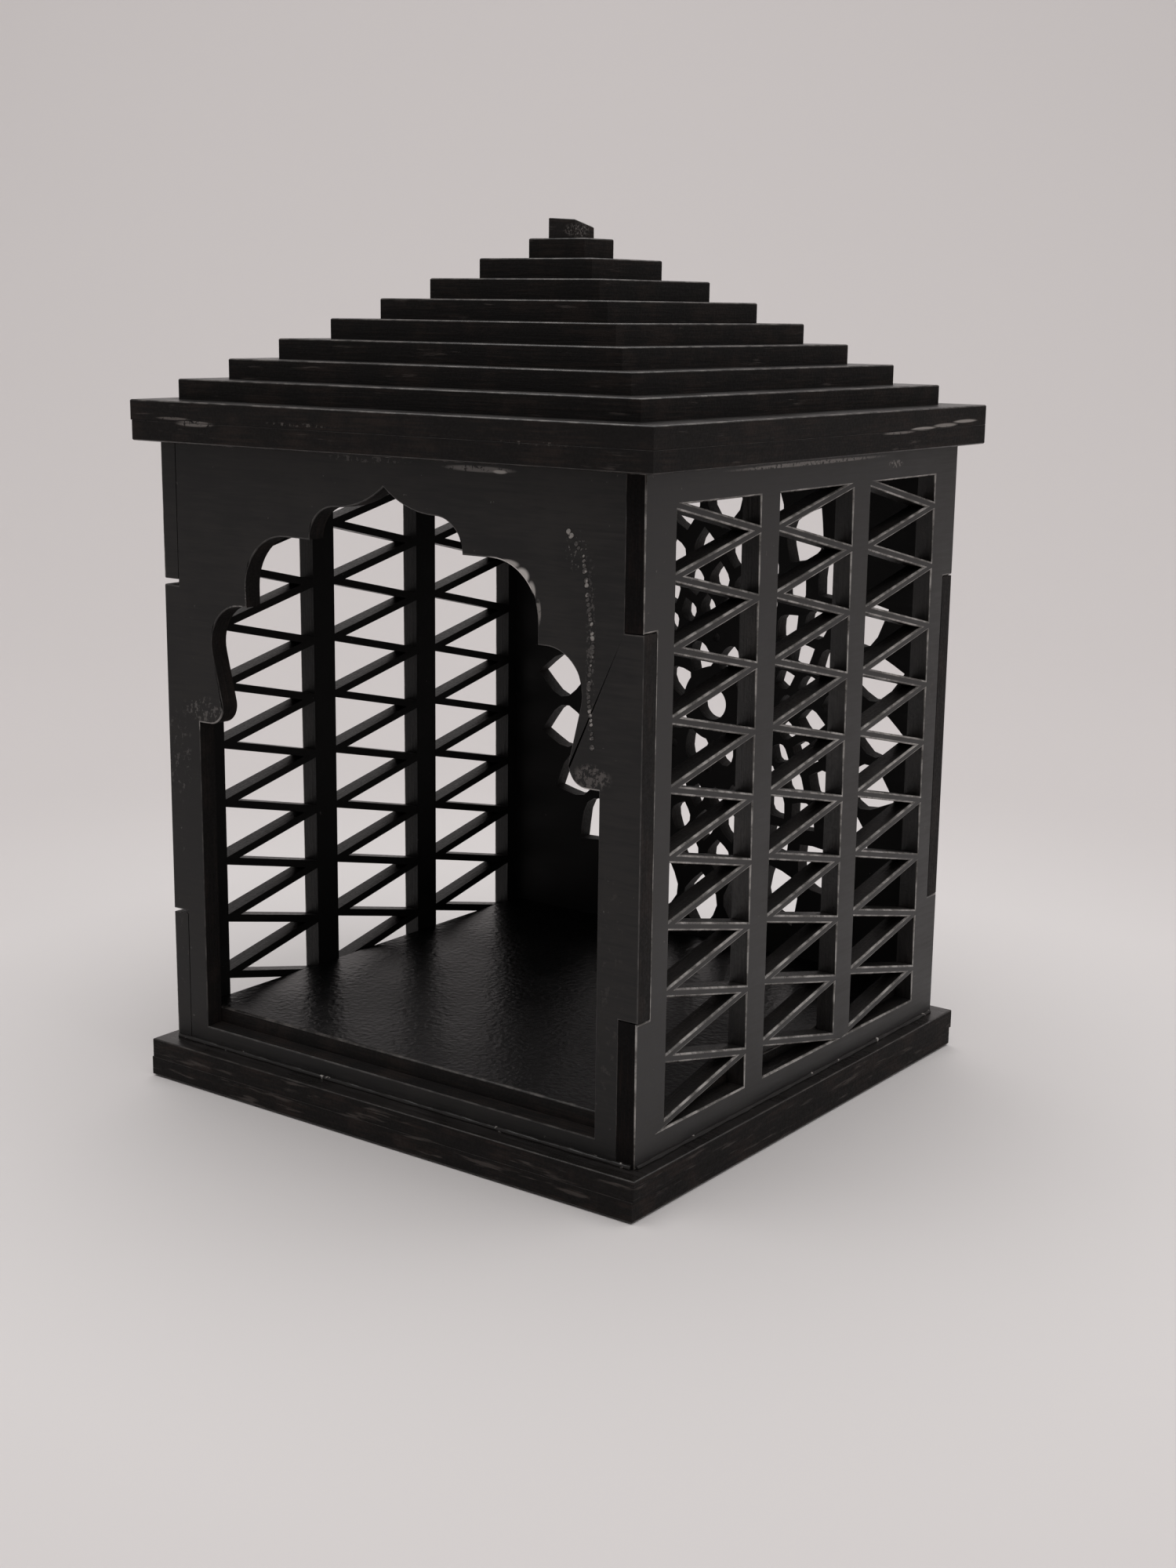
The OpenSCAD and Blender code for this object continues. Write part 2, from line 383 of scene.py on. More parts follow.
@dataclass(frozen=True)
class ArrisWearAndHighlight:
    """Corner of a board where the paint has drawn back and been rubbed.

    Paint is thinnest on an outside corner, so the corner is smoother than the faces
    beside it; its paler colour is partly worn paint and partly a painted highlight,
    and it shows as a broken light line.

    Args:
        name: name of the finish.
        tone: colour of the worn corner, paler also as a painted highlight.
        dark: colour where the paint still covers; paler than the faces where it also carries the
            painted highlight.
        sheen: roughness.
        chips: places where the corner is chipped to the pale primer.
    """

    name: str
    tone: str
    dark: str
    sheen: float = 0.4
    chips: tuple[Scuff, ...] = ()

    def make(self) -> bpy.types.Material:
        """Build the material.

        Returns:
            The material.
        """
        material, tree = new_material(self.name)
        worn = add(tree, "TexNoise", None, {
            "Vector": place(tree), "Scale": 0.35, "Detail": 4.0, "Roughness": 0.65})
        grit = add(tree, "TexNoise", None, {
            "Vector": place(tree), "Scale": 3.0, "Detail": 2.0, "Roughness": 0.5})
        # paler where the paint is worn, and paler as a painted highlight along the corner
        pale_wear_and_highlight = add(tree, "MapRange", SMOOTH, {"Value": worn, "From Min": 0.38,
                                               "From Max": 0.68})
        colour = add(tree, "Mix", COLOURS, {
            0: pale_wear_and_highlight, 6: linear(self.dark), 7: linear(self.tone)}).outputs[2]
        for chip in self.chips:
            colour = add(tree, "Mix", COLOURS, {
                0: chip.mask(tree), 6: colour, 7: linear(chip.colour)}).outputs[2]
        bump = add(tree, "Bump", None, {"Height": grit, "Strength": 0.4, "Distance": 0.00005})
        rough = add(tree, "MapRange", SMOOTH, {
            "Value": grit, "From Min": 0.3, "From Max": 0.7,
            "To Min": self.sheen - 0.06, "To Max": self.sheen + 0.1})
        surface = add(tree, "BsdfPrincipled", None, {
            "Base Color": colour, "Roughness": rough, "IOR": ACRYLIC_IOR,
            "Specular IOR Level": 0.5, "Normal": bump.outputs[0]})
        add(tree, "OutputMaterial", None, {"Surface": surface.outputs[0]})
        return material


@dataclass(frozen=True)
class GlossEnamel:
    """Gloss black enamel, brushed thick on the inner floor.

    It mirrors the lattice and the light behind it, broken by a fine orange-peel
    texture that the brush left.

    Args:
        name: name of the finish.
        tone: colour of the film.
        sheen: roughness.
        peel_mm: size of the orange-peel cells.
    """

    name: str
    tone: str
    sheen: float
    peel_mm: float

    def make(self) -> bpy.types.Material:
        """Build the material.

        Returns:
            The material.
        """
        material, tree = new_material(self.name)
        peel, cloud, dots = (
            add(tree, "TexNoise", None, {"Vector": place(tree), "Scale": grain,
                                         "Detail": detail, "Roughness": break_up})
            for grain, detail, break_up in (
                (1 / self.peel_mm, 2.0, 0.5), (0.07, 1.0, 0.4), (1.9, 2.0, 0.5)))
        dust = add(tree, "MapRange", SMOOTH, {"Value": dots, "From Min": 0.74,
                                              "From Max": 0.8})
        pale = add(tree, "Math", TIMES, {0: dust, 1: 0.3})
        colour = add(tree, "Mix", COLOURS, {
            0: pale, 6: linear(self.tone), 7: linear("#6d6a68")}).outputs[2]
        bump = add(tree, "Bump", None, {"Height": peel, "Strength": 0.8, "Distance": 0.00014})
        rough = add(tree, "MapRange", SMOOTH, {
            "Value": cloud, "From Min": 0.3, "From Max": 0.7,
            "To Min": self.sheen - 0.02, "To Max": self.sheen + 0.03})
        surface = add(tree, "BsdfPrincipled", None, {
            "Base Color": colour, "Roughness": rough, "IOR": ENAMEL_IOR,
            "Specular IOR Level": 0.34, "Normal": bump.outputs[0]})
        add(tree, "OutputMaterial", None, {"Surface": surface.outputs[0]})
        return material


@dataclass(frozen=True)
class DriedGlue:
    """White wood glue that dried clear and took a thin coat of black.

    It is smooth and a little shiny, dark where the paint covers it and milky in
    short dashes where the paint missed.

    Args:
        name: name of the finish.
        tone: colour under paint.
        milky: colour where the paint missed.
        missed: share that the paint missed.
    """

    name: str
    tone: str
    milky: str
    missed: float

    def make(self) -> bpy.types.Material:
        """Build the material.

        Returns:
            The material.
        """
        material, tree = new_material(self.name)
        dashes = add(tree, "TexNoise", None, {
            "Vector": place(tree), "Scale": 0.55, "Detail": 3.0, "Roughness": 0.6})
        level = 0.75 - 0.35 * self.missed
        mask = add(tree, "MapRange", SMOOTH, {
            "Value": dashes, "From Min": level, "From Max": level + 0.05})
        colour = add(tree, "Mix", COLOURS, {
            0: mask, 6: linear(self.tone), 7: linear(self.milky)}).outputs[2]
        bump = add(tree, "Bump", None, {"Height": dashes, "Strength": 0.4, "Distance": 0.0001})
        surface = add(tree, "BsdfPrincipled", None, {
            "Base Color": colour, "Roughness": 0.3, "IOR": GLUE_IOR,
            "Specular IOR Level": 0.5, "Normal": bump.outputs[0]})
        add(tree, "OutputMaterial", None, {"Surface": surface.outputs[0]})
        return material


@dataclass(frozen=True)
class MattPaper:
    """Matt paper that the temple stands on and in front of.

    It is painted a little greyer away from the temple: painted shade, where less light falls on
    the paper.

    Args:
        name: name of the finish.
        tone: colour of the paper.
        rim: its colour away from the temple, darker as painted shade.
    """

    name: str
    tone: str
    rim: str

    def make(self) -> bpy.types.Material:
        """Build the material.

        Returns:
            The material.
        """
        material, tree = new_material(self.name)
        cloud = add(tree, "TexNoise", None, {
            "Vector": place(tree, (4, 4, 4)), "Scale": 1.0, "Detail": 2.0, "Roughness": 0.5})
        # painted shade: the paper turns greyer away from the temple
        far = add(tree, "VectorMath", LENGTH, {0: place(tree, (1, 1, 1))})
        away = add(tree, "MapRange", SMOOTH, {
            "Value": far.outputs["Value"], "From Min": 0.08, "From Max": 0.24})
        colour = add(tree, "Mix", COLOURS, {
            0: away, 6: linear(self.tone), 7: linear(self.rim)}).outputs[2]
        grey = add(tree, "Math", TIMES, {0: cloud, 1: 0.05})
        colour = add(tree, "Mix", COLOURS, {
            0: grey, 6: colour, 7: linear("#a8a4a3")}).outputs[2]
        surface = add(tree, "BsdfPrincipled", None, {
            "Base Color": colour, "Roughness": 0.9, "IOR": PAPER_IOR,
            "Specular IOR Level": 0.15})
        add(tree, "OutputMaterial", None, {"Surface": surface.outputs[0]})
        return material


# ---------------------------------------------------------------- modelling


def only(obj: bpy.types.Object) -> None:
    """Select one object alone and make it active."""
    bpy.ops.object.select_all(action="DESELECT")
    obj.select_set(True)
    bpy.context.view_layer.objects.active = obj


def apply(obj: bpy.types.Object, kind: str, **settings: object) -> None:
    """Add a modifier and apply it.

    Args:
        obj: mesh object.
        kind: modifier type.
        **settings: its settings.
    """
    only(obj)
    modifier = obj.modifiers.new(kind.title(), kind)
    for name, value in settings.items():
        setattr(modifier, name, value)
    bpy.ops.object.modifier_apply(modifier=modifier.name)


def hand_over(obj: bpy.types.Object, nodes: tuple[str, ...] = ()) -> None:
    """Give a finished piece its body and the solids it stands for.

    Args:
        obj: finished piece, in place.
        nodes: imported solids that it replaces.
    """
    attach(obj, BODY)
    if nodes:
        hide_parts(*nodes)
    log.info("%s: %d faces", obj.name, len(obj.data.polygons))


@dataclass
class Board:
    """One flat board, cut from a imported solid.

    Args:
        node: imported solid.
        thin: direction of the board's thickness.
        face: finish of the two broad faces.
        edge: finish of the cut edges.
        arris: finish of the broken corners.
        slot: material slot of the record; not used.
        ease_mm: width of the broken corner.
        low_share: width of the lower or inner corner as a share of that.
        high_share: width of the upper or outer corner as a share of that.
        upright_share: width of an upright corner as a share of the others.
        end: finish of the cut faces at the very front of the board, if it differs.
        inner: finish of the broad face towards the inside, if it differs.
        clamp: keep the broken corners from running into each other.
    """

    node: str
    thin: Axis
    face: bpy.types.Material
    edge: bpy.types.Material
    arris: bpy.types.Material
    slot: Slot
    ease_mm: float = 0.2
    low_share: float = 0.5
    high_share: float = 1.0
    upright_share: float = 0.45
    end: bpy.types.Material | None = None
    inner: bpy.types.Material | None = None
    clamp: bool = True

    def build(self) -> bpy.types.Object:
        """Copy the solid, join its triangles, break its corners and dress it.

        Returns:
            The finished board.
        """
        mesh = bpy.data.objects[self.node].data.copy()
        board = bpy.data.objects.new(self.node + "_painted", mesh)
        bpy.context.scene.collection.objects.link(board)
        mesh.materials.clear()
        for material in (self.face, self.edge, self.arris, self.end or self.edge,
                         self.inner or self.face):
            mesh.materials.append(material)
        only(board)
        bpy.ops.object.mode_set(mode="EDIT")
        bpy.ops.mesh.select_all(action="SELECT")
        bpy.ops.mesh.customdata_custom_splitnormals_clear()
        bpy.ops.mesh.remove_doubles(threshold=WELD_MM * MM)
        bpy.ops.mesh.dissolve_limited(angle_limit=math.radians(FLAT_DEGREES))
        bpy.ops.object.mode_set(mode="OBJECT")
        self._mark(board)
        apply(board, "BEVEL", width=self.ease_mm * MM, segments=2, limit_method="WEIGHT",
              use_clamp_overlap=self.clamp, loop_slide=False,
              material=Part.ARRIS.value, harden_normals=False)
        only(board)
        bpy.ops.object.shade_smooth_by_angle(angle=math.radians(BOARD_SMOOTH_DEGREES))
        apply(board, "WEIGHTED_NORMAL", mode="FACE_AREA", weight=100, keep_sharp=True)
        hand_over(board, (self.node,))
        return board

    def _mark(self, board: bpy.types.Object) -> None:
        """Give each face its finish and mark the corners round the broad faces.

        Args:
            board: the joined copy of the solid.
        """
        mesh = board.data
        axis = self.thin.value
        lo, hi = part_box(self.node)
        middle = (lo[axis] + hi[axis]) / 2
        for face in mesh.polygons:
            broad = abs(face.normal[axis]) > 0.7
            at_front = face.normal.y < -0.7 and face.center.y < lo.y + 0.1 * MM
            part = Part.FACE if broad else Part.END if at_front and self.end else Part.EDGE
            face.material_index = part.value
        broad_sides: dict[tuple[int, int], int] = {}
        for face in mesh.polygons:
            for key in face.edge_keys:
                is_face = face.material_index == Part.FACE.value
                broad_sides[key] = broad_sides.get(key, 0) + is_face
        weight = mesh.attributes.new("bevel_weight_edge", "FLOAT", "EDGE")
        outer_high = self.thin is Axis.UP or middle > 0
        for edge in mesh.edges:
            key = tuple(sorted(edge.vertices))
            if broad_sides.get(key) != 1:
                continue
            high = mesh.vertices[edge.vertices[0]].co[axis] > middle
            share = self.high_share if high == outer_high else self.low_share
            a, b = (mesh.vertices[i].co for i in edge.vertices)
            if abs((b - a).normalized().z) > 0.95:
                share *= self.upright_share
            weight.data[edge.index].value = share
        for face in mesh.polygons:
            inward = (face.center[axis] > middle) != outer_high
            if face.material_index == Part.FACE.value and inward:
                face.material_index = Part.INNER.value


@dataclass
class GlueBead:
    """A run of squeezed-out glue in an inside corner.

    Args:
        name: name of the piece.
        start: one end, in millimetres.
        end: other end, in millimetres.
        radius_mm: half thickness of the bead.
        finish: material.
        slot: material slot of the record; not used.
        wobble_mm: how far the bead wanders.
        seed_mm: where along the pattern the wandering starts.
    """

    name: str
    start: Vector
    end: Vector
    radius_mm: float
    finish: bpy.types.Material
    slot: Slot
    wobble_mm: float = 0.12
    seed_mm: float = 0.0

    def build(self) -> bpy.types.Object:
        """Draw out a rod, cut it into short lengths and let it wander.

        Returns:
            The finished bead.
        """
        run = (self.end - self.start) * MM
        middle = (self.start + self.end) / 2 * MM
        bpy.ops.object.select_all(action="DESELECT")
        bpy.ops.mesh.primitive_cylinder_add(
            vertices=8, radius=self.radius_mm * MM, depth=run.length, location=middle,
            rotation=run.to_track_quat("Z", "Y").to_euler())
        bead = bpy.context.object
        bead.name = self.name
        bpy.ops.object.transform_apply(location=True, rotation=True, scale=True)
        cuts = max(8, int(run.length / (0.9 * MM)))
        along = run.normalized()
        bpy.ops.object.mode_set(mode="EDIT")
        bpy.ops.mesh.select_all(action="DESELECT")
        bpy.ops.object.mode_set(mode="OBJECT")
        for edge in bead.data.edges:
            a, b = (bead.data.vertices[i].co for i in edge.vertices)
            edge.select = abs((b - a).normalized().dot(along)) > 0.9
        bpy.ops.object.mode_set(mode="EDIT")
        bpy.ops.mesh.select_mode(type="EDGE")
        bpy.ops.mesh.subdivide(number_cuts=cuts)
        bpy.ops.object.mode_set(mode="OBJECT")
        self._wander(bead, along)
        only(bead)
        bpy.ops.object.shade_smooth_by_angle(angle=math.radians(BEAD_SMOOTH_DEGREES))
        bead.data.materials.append(self.finish)
        hand_over(bead)
        return bead

    def _wander(self, bead: bpy.types.Object, along: Vector) -> None:
        """Thicken and thin the bead along its length.

        Args:
            bead: the cut rod.
            along: its direction.
        """
        middle = (self.start + self.end) / 2 * MM
        for vertex in bead.data.vertices:
            t = (vertex.co - middle).dot(along)
            axis_point = middle + along * t
            out = vertex.co - axis_point
            s = t / MM + self.seed_mm
            swell = 0.5 * math.sin(0.61 * s) + 0.3 * math.sin(1.7 * s + 1.3) \
                + 0.2 * math.sin(3.9 * s + 0.4)
            if out.length > 1e-7:
                grow = 1 + swell * self.wobble_mm / self.radius_mm
                vertex.co = axis_point + out * grow


@dataclass
class PaintCrumbs:
    """Crumbs of dried paint left in a row on a board.

    Args:
        name: name of the piece.
        path: bends of the row, in millimetres.
        spacing_mm: distance from crumb to crumb.
        size_mm: half size of the largest crumb.
        finish: material.
        slot: material slot of the record; not used.
    """

    name: str
    path: tuple[tuple[float, float, float], ...]
    spacing_mm: float
    size_mm: float
    finish: bpy.types.Material
    slot: Slot

    def build(self) -> bpy.types.Object:
        """Model one crumb, copy it along the row and join the copies.

        Returns:
            The joined crumbs.
        """
        bpy.ops.object.select_all(action="DESELECT")
        bpy.ops.mesh.primitive_ico_sphere_add(subdivisions=2, radius=self.size_mm * MM)
        first = bpy.context.object
        bpy.ops.object.mode_set(mode="EDIT")
        bpy.ops.transform.resize(value=(0.8, 0.45, 1.0))
        bpy.ops.transform.vertex_random(offset=0.12 * self.size_mm * MM, seed=3)
        bpy.ops.object.mode_set(mode="OBJECT")
        crumbs = []
        for number, spot in enumerate(self._spots()):
            crumb = bpy.data.objects.new(f"crumb_{number}", first.data.copy())
            bpy.context.scene.collection.objects.link(crumb)
            swing = math.sin(12.9 * number + 1.7)
            lean = math.sin(7.3 * number + 0.6)
            size = 0.62 + 0.38 * abs(swing)
            crumb.scale = (size, size, size * (0.8 + 0.3 * lean))
            crumb.rotation_euler = (0, lean, 0)
            crumb.location = Vector((spot.x + 0.28 * swing, spot.y, spot.z)) * MM
            crumbs.append(crumb)
        bpy.data.objects.remove(first)
        bpy.ops.object.select_all(action="DESELECT")
        for crumb in crumbs:
            crumb.select_set(True)
        bpy.context.view_layer.objects.active = crumbs[0]
        bpy.ops.object.transform_apply(location=True, rotation=True, scale=True)
        bpy.ops.object.join()
        row = bpy.context.object
        row.name = self.name
        bpy.ops.object.transform_apply(location=True, rotation=True, scale=True)
        bpy.ops.object.shade_smooth()
        row.data.materials.append(self.finish)
        hand_over(row)
        return row

    def _spots(self) -> list[Vector]:
        """Step along the row, leaving out a crumb here and there.

        Returns:
            The middle of each crumb, in millimetres.
        """
        spots = []
        for a, b in zip(self.path, self.path[1:]):
            start, run = Vector(a), Vector(b) - Vector(a)
            count = max(1, int(run.length / self.spacing_mm))
            spots += [start + run * i / count for i in range(count)]
        return [spot for i, spot in enumerate(spots) if math.sin(2.3 * i) > -0.8]


@dataclass
class PaintShop:
    """All finishes of the temple, each mixed once."""

    def __post_init__(self) -> None:
        """Mix the paints."""
        lo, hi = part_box("front_wall")
        self.front_lo, self.front_hi = lo / MM, hi / MM
        # The front and the sides are one paint in two copies: the side copy is paler as painted
        # light on the lit right side, the front copy darker as painted shade.
        self.front = SatinPaint("satin acrylic on fibreboard, front", "#131212", "#252322", 0.46,
                                Axis.ACROSS, gleam=0.32, scuffs=self._front_marks()).make()
        self.side = SatinPaint("satin acrylic on fibreboard, sides", "#191818", "#2a2827", 0.38,
                               Axis.DEPTH, scuffs=self._side_marks()).make()
        self.back = SatinPaint("satin acrylic on fibreboard, back", "#100f0f", "#1b1a1a", 0.46,
                               Axis.ACROSS, gleam=0.3).make()
        self.top = SatinPaint("satin acrylic on fibreboard, roof and base", "#151312", "#242120",
                              0.27, Axis.ACROSS).make()
        self.edge = {axis: SawnEdge("painted laser-cut edge, layers " + axis.name.lower(),
                                    "#0d0a09", "#1f1815", axis).make() for axis in Axis}
        self.roof_edge = SawnEdge("painted laser-cut edge of the roof", "#0f0c0b", "#201916",
                                  Axis.UP, gleam=0.22, smear=0.3, marks=self._eave_marks()).make()
        tip_lo, tip_hi = (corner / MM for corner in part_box("finial_block"))
        self.finial = SawnEdge("painted sawn offcut", "#151110", "#2b2320", Axis.UP, gleam=0.3,
                               smear=0.3, marks=(
                                   Scuff((tip_hi.x, tip_lo.y + 1.4, tip_lo.z + 1.2),
                                         (3.0, 2.6, 1.4), 3.2, 0.5, "#6e6966"),)).make()
        self.base_edge = SawnEdge("painted laser-cut edge of the base", "#0f0c0b", "#231b18",
                                  Axis.UP, gleam=0.2, smear=0.6).make()
        self.bar_edge = SawnEdge("painted laser-cut edge of the lattice", "#110f0e", "#221e1c",
                                 Axis.ACROSS, 0.3, 0.4, 0.6).make()
        self.end_grain = SawnEdge("soaked end of the right wall", "#080606", "#17100e",
                                  Axis.ACROSS, 0.2, 0.85, 0.15).make()
        # The corners are paler than the paint: partly rubbed paint, partly a painted highlight
        # where they catch the light.
        self.arris = ArrisWearAndHighlight("rubbed paint on roof corners", "#5c5855", "#1d1b1a").make()
        self.base_arris = ArrisWearAndHighlight("rubbed paint on base corners", "#3a3633", "#171413").make()
        self.wall_arris = ArrisWearAndHighlight("rubbed paint on wall corners", "#474442", "#1f1d1c", 0.34,
                                      self._front_chips_and_rim_highlight()).make()
        # On the lattice even the covered colour is far paler than the paint: mostly a painted
        # highlight along the bars' corners.
        self.bar_arris = ArrisWearAndHighlight("rubbed paint on lattice corners", "#aaa6a2", "#55524f",
                                     0.3).make()
        # The inner faces and the left lattice's edges take darker copies of the paint: painted
        # shade inside the temple.
        self.inside = SatinPaint("thin satin acrylic on the inner faces", "#0a0909", "#131212",
                                 0.5, Axis.ACROSS, gleam=0.2).make()
        self.far_edge = SawnEdge("painted laser-cut edge of the left lattice", "#090808",
                                 "#131110", Axis.ACROSS, 0.3, 0.4, 0.25).make()
        self.gloss = GlossEnamel("gloss enamel on the inner floor", "#09090a", 0.3, 0.9).make()
        self.glue = DriedGlue("dried wood glue under paint", "#1a1817", "#9a9692", 0.32).make()
        self.seam_glue = DriedGlue("dried wood glue in the roof seams", "#1a1716", "#77726f",
                                   0.55).make()
        self.crumb = DriedGlue("dried crumbs of pale filler", "#43403e", "#8f8b87", 0.7).make()

    def _eave_marks(self) -> tuple[Scuff, ...]:
        """Glue that was pressed out of the seam between the eave boards.

        Returns:
            The marks.
        """
        lo, hi = (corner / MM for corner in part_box("eave_upper_board"))
        seam = lo.z
        return (
            # thin wandering line on the right, towards the back
            Scuff((hi.x, hi.y - 7, seam + 0.75), (2, 4.5, 0.3), 0.8, 0.95, "#928d89"),
            Scuff((hi.x, hi.y - 13.5, seam + 0.35), (2, 4.5, 0.35), 0.8, 0.9, "#827d79"),
            Scuff((hi.x, hi.y - 20.5, seam + 0.1), (2, 4.5, 0.3), 0.8, 0.95, "#928d89"),
            Scuff((hi.x, hi.y - 28, seam - 0.25), (2, 5.5, 0.25), 0.8, 0.8, "#6d6865"),
            # the same on the front, towards the left
            Scuff((lo.x + 9, lo.y, seam + 0.5), (4, 2, 0.25), 0.8, 0.8, "#5c5754"),
            Scuff((lo.x + 13.5, lo.y, seam - 0.1), (4.5, 2, 0.5), 0.8, 0.75, "#6a6562"),
            Scuff((lo.x + 34, lo.y, seam + 0.6), (8, 2, 0.3), 0.8, 0.5, "#4d4946"),
            Scuff((hi.x - 18, lo.y, seam), (9, 2, 0.3), 0.8, 0.4, "#4d4946"),
        )

    def _front_marks(self) -> tuple[Scuff, ...]:
        """Marks on the front wall, placed from its own box.

        Returns:
            The marks.
        """
        lo, hi = self.front_lo, self.front_hi
        y = lo.y
        foot = lo.z
        right = hi.x
        left = lo.x
        return (
            # dusty trace under the row of crumbs down the right of the arch
            Scuff((right - 8.4, y, foot + 70), (0.9, 2, 14), 1.6, 0.5, "#4e4b4a"),
            Scuff((right - 10.8, y, foot + 82.5), (2.2, 2, 3.2), 2.2, 0.35, "#6c6967"),
            # knock on the nib at the right
            Scuff((right - 7.9, y, foot + 52.9), (3.6, 2, 2.0), 1.1, 0.62, "#55514f"),
            # rubbed ledge and jamb at the left
            Scuff((left + 8.5, y, foot + 53.2), (6.0, 2, 2.4), 1.1, 0.5, "#575452"),
            Scuff((left + 2.2, y, foot + 46), (3.4, 2, 9), 0.9, 0.42, "#474443"),
            Scuff((left + 2.0, y, foot + 20), (2.4, 2, 16), 0.8, 0.3, "#3d3a39"),
            # pale film of glue under the eave
            Scuff((left + 61, y, foot + 92), (7, 2, 0.5), 0.7, 0.75, "#6c6967"),
            Scuff((left + 64.5, y, foot + 91.8), (1.4, 2, 0.3), 0.9, 1.0, "#a5a19d"),
            Scuff((left + 41, y, foot + 92.3), (9, 2, 0.6), 0.7, 0.5, "#4d4a49"),
            # paint rubbed through along the rim of the arch at the right, made paler as a painted
            # highlight on the rim
            Scuff((right - 22.3, y, foot + 79.8), (2.4, 2, 0.75), 1.0, 1.0, "#a9a5a1"),
            Scuff((right - 19.8, y, foot + 78.4), (1.5, 2, 1.3), 1.0, 1.0, "#c2beba"),
            Scuff((right - 18.2, y, foot + 76.4), (0.9, 2, 1.7), 1.0, 1.0, "#a9a5a1"),
            Scuff((right - 17.0, y, foot + 73.8), (0.6, 2, 2.0), 1.0, 0.8, "#7b7774"),
            # smears down the right jamb
            Scuff((right - 4.5, y, foot + 25), (2.6, 2, 22), 0.7, 0.4, "#353231"),
        )

    def _front_chips_and_rim_highlight(self) -> tuple[Scuff, ...]:
        """Chips on the rim of the arch, placed from the front wall's box; the first also paints a
        highlight on the rim at the right.

        Returns:
            The chips.
        """
        lo, hi = self.front_lo, self.front_hi
        return (
            # chipped rim at the right of the arch, near white as a painted highlight
            Scuff((hi.x - 20.5, lo.y, lo.z + 78.8), (6.5, 3, 3.6), 0.6, 1.0, "#d0ccc8"),
            Scuff((hi.x - 8, lo.y, lo.z + 52), (3.0, 3, 2.5), 1.4, 0.9, "#a29e9a"),
            Scuff((lo.x + 15, lo.y, lo.z + 71), (3.5, 3, 3), 1.4, 0.6, "#7d7a77"),
            Scuff((lo.x + 8, lo.y, lo.z + 52), (4.5, 3, 2.5), 1.4, 0.8, "#8f8b88"),
        )

    def _side_marks(self) -> tuple[Scuff, ...]:
        """Marks on the right wall, placed from its own box.

        Returns:
            The marks.
        """
        lo, hi = (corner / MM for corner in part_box("right_wall"))
        x = hi.x
        foot = lo.z
        front = lo.y
        return (
            # stain on the border behind the lattice
            Scuff((x, front + 79, foot + 55), (2, 2.6, 9), 1.3, 0.4, "#4b4846"),
            # scratch along the top under the eave
            Scuff((x, front + 40, foot + 92.2), (2, 24, 0.35), 1.6, 0.75, "#8a8683"),
            Scuff((x, front + 65, foot + 90.9), (2, 2.6, 0.7), 1.6, 0.6, "#7e7a77"),
        )


@dataclass
class Plinth:
    """The two base boards, the inner floor and the glue round the walls' foot.

    Args:
        shop: the mixed finishes.
        bead_mm: half thickness of the glue beads.
    """

    shop: PaintShop
    bead_mm: float = 0.45

    def build(self) -> None:
        """Build and dress the plinth."""
        shop = self.shop
        for node, low, high in (("base_lower_board", 1.0, 0.5), ("base_upper_board", 0.0, 1.0)):
            Board(node, Axis.UP, shop.top, shop.base_edge, shop.base_arris, Slot.ROOF, 0.18,
                  low, high).build()
        Board("floor_board", Axis.UP, self.shop.gloss, self.shop.edge[Axis.UP],
              self.shop.arris, Slot.FLOOR, 0.3).build()
        self._beads()

    def _beads(self) -> None:
        """Run a glue bead along the foot of each wall."""
        front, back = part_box("front_wall"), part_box("back_wall")
        left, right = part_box("left_wall"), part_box("right_wall")
        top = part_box("base_upper_board")[1].z / MM
        z = top + self.bead_mm * 0.35
        x0, x1 = left[0].x / MM, right[1].x / MM
        y0, y1 = front[0].y / MM, back[1].y / MM
        r = self.bead_mm
        runs = {"front": ((x0 + r, y0, z), (x1 - r, y0, z)),
                "back": ((x0 + r, y1, z), (x1 - r, y1, z)),
                "left": ((x0, y0 + r, z), (x0, y1 - r, z)),
                "right": ((x1, y0 + r, z), (x1, y1 - r, z))}
        for number, (side, (a, b)) in enumerate(runs.items()):
            GlueBead(f"foot_glue_{side}", Vector(a), Vector(b), r, self.shop.glue, Slot.ROOF,
                     0.14, 37.0 * number).build()


